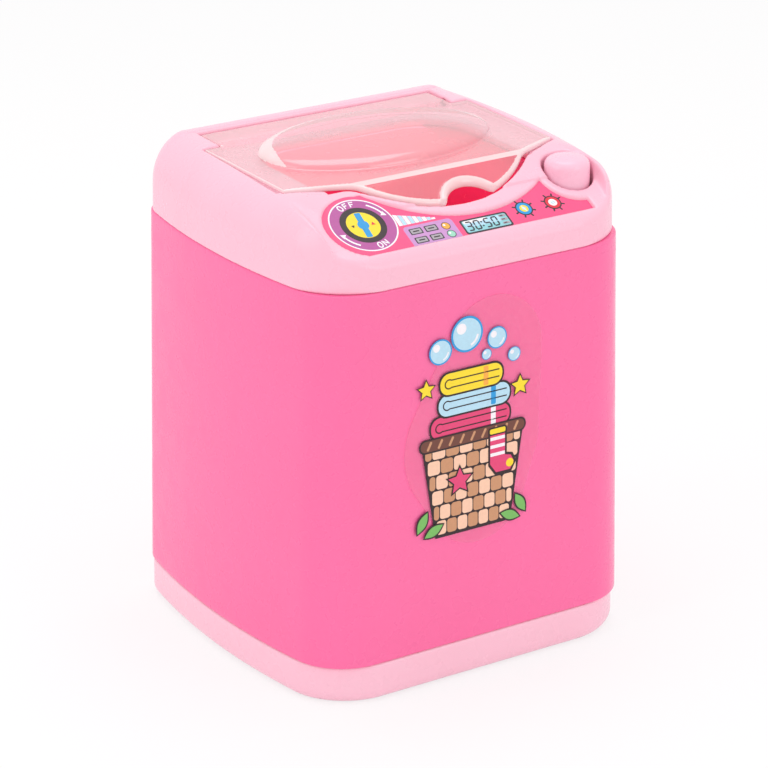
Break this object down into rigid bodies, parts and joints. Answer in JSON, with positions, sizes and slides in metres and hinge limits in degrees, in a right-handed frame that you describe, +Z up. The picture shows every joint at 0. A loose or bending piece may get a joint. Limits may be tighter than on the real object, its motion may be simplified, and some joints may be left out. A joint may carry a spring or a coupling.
{
  "type": "toy washing machine",
  "caption": "Toy top-loading washing machine with a hinged translucent lid, push button, sloped control panel, spinning pulsator, motor drive and sliding battery door.",
  "frame": {"origin": "on the table under the middle of the base", "axes": "+X to the right seen from the front, +Y to the rear, +Z up"},
  "size_m": [0.0928, 0.0834, 0.1176],
  "materials": {
    "cover_pink": "glossy moulded plastic",
    "shell_pink": "glossy moulded plastic",
    "base_pink": "glossy moulded plastic",
    "lid_milky": "translucent, milky",
    "button_pink": "glossy moulded plastic",
    "tub_crimson": "glossy moulded plastic",
    "label_film": "printed film",
    "sticker_film": "printed clear film",
    "pulsator_pink": "glossy moulded plastic",
    "white_nylon": "matte nylon",
    "black_plastic": "matte",
    "cap_plastic": "matte",
    "steel": "plain steel",
    "can_steel": "zinc plated",
    "bronze": "sintered bronze",
    "brass_tab": "plain brass",
    "copper": "enamelled copper over iron",
    "magnet": "ferrite",
    "seal_rubber": "soft rubber",
    "clip_steel": "spring steel",
    "spring_steel": "spring wire",
    "cell_green": "plain sleeve",
    "wire_red": "insulation",
    "wire_blue": "insulation",
    "wire_black": "insulation"
  },
  "bodies": {
    "housing": {"top_cover": "cover_pink", "body_shell": "shell_pink", "base": "base_pink", "wash_tub": "tub_crimson", "control_label": "label_film", "front_sticker": "sticker_film", "button_spring": "spring_steel", "switch_case": "black_plastic", "switch_terminals": "brass_tab", "switch_bracket": "cover_pink", "switch_screws": "steel", "shaft_bush": "bronze", "shaft_seal": "seal_rubber", "motor_can": "can_steel", "motor_magnets": "magnet", "motor_end_cap": "cap_plastic", "motor_terminals": "brass_tab", "motor_bracket": "white_nylon", "bracket_screws": "steel", "tub_screws": "steel", "base_screws": "steel", "front_cell": "cell_green", "rear_cell": "cell_green", "contact_plates": "can_steel", "contact_springs": "spring_steel", "red_wire": "wire_red", "blue_wire": "wire_blue", "black_wire": "wire_black"},
    "lid": {"lid": "lid_milky"},
    "button": {"power_button": "button_pink", "switch_plunger": "white_nylon"},
    "pulsator": {"pulsator": "pulsator_pink", "pulsator_shaft": "steel", "drive_gear": "white_nylon", "shaft_clip": "clip_steel"},
    "motor_rotor": {"motor_shaft": "steel", "motor_pinion": "white_nylon", "motor_armature": "copper"},
    "battery_door": {"battery_door": "base_pink"}
  },
  "joints": [
    {"name": "lid_hinge", "type": "hinge", "parent": "housing", "child": "lid", "pos_m": [0, 0.0245, 0.1133], "axis": [-1, 0, 0], "range_deg": [0, 100]},
    {"name": "button_press", "type": "slide", "parent": "housing", "child": "button", "axis": [0, 0, -1], "range_m": [0, 0.002], "stiffness_N_per_m": 300, "springref_m": -0.001, "deforming": ["button_spring"]},
    {"name": "pulsator_spin", "type": "hinge", "parent": "housing", "child": "pulsator", "pos_m": [0, -0.003, 0.05], "axis": [0, 0, 1], "continuous": true},
    {"name": "motor_spin", "type": "hinge", "parent": "housing", "child": "motor_rotor", "pos_m": [0, -0.018, 0.02], "axis": [0, 0, 1], "continuous": true},
    {"name": "battery_door_slide", "type": "slide", "parent": "housing", "child": "battery_door", "axis": [0, 1, 0], "range_m": [0, 0.045]}
  ],
  "couplings": [
    {"joint": "motor_spin", "follows": "pulsator_spin", "ratio": -5}
  ]
}
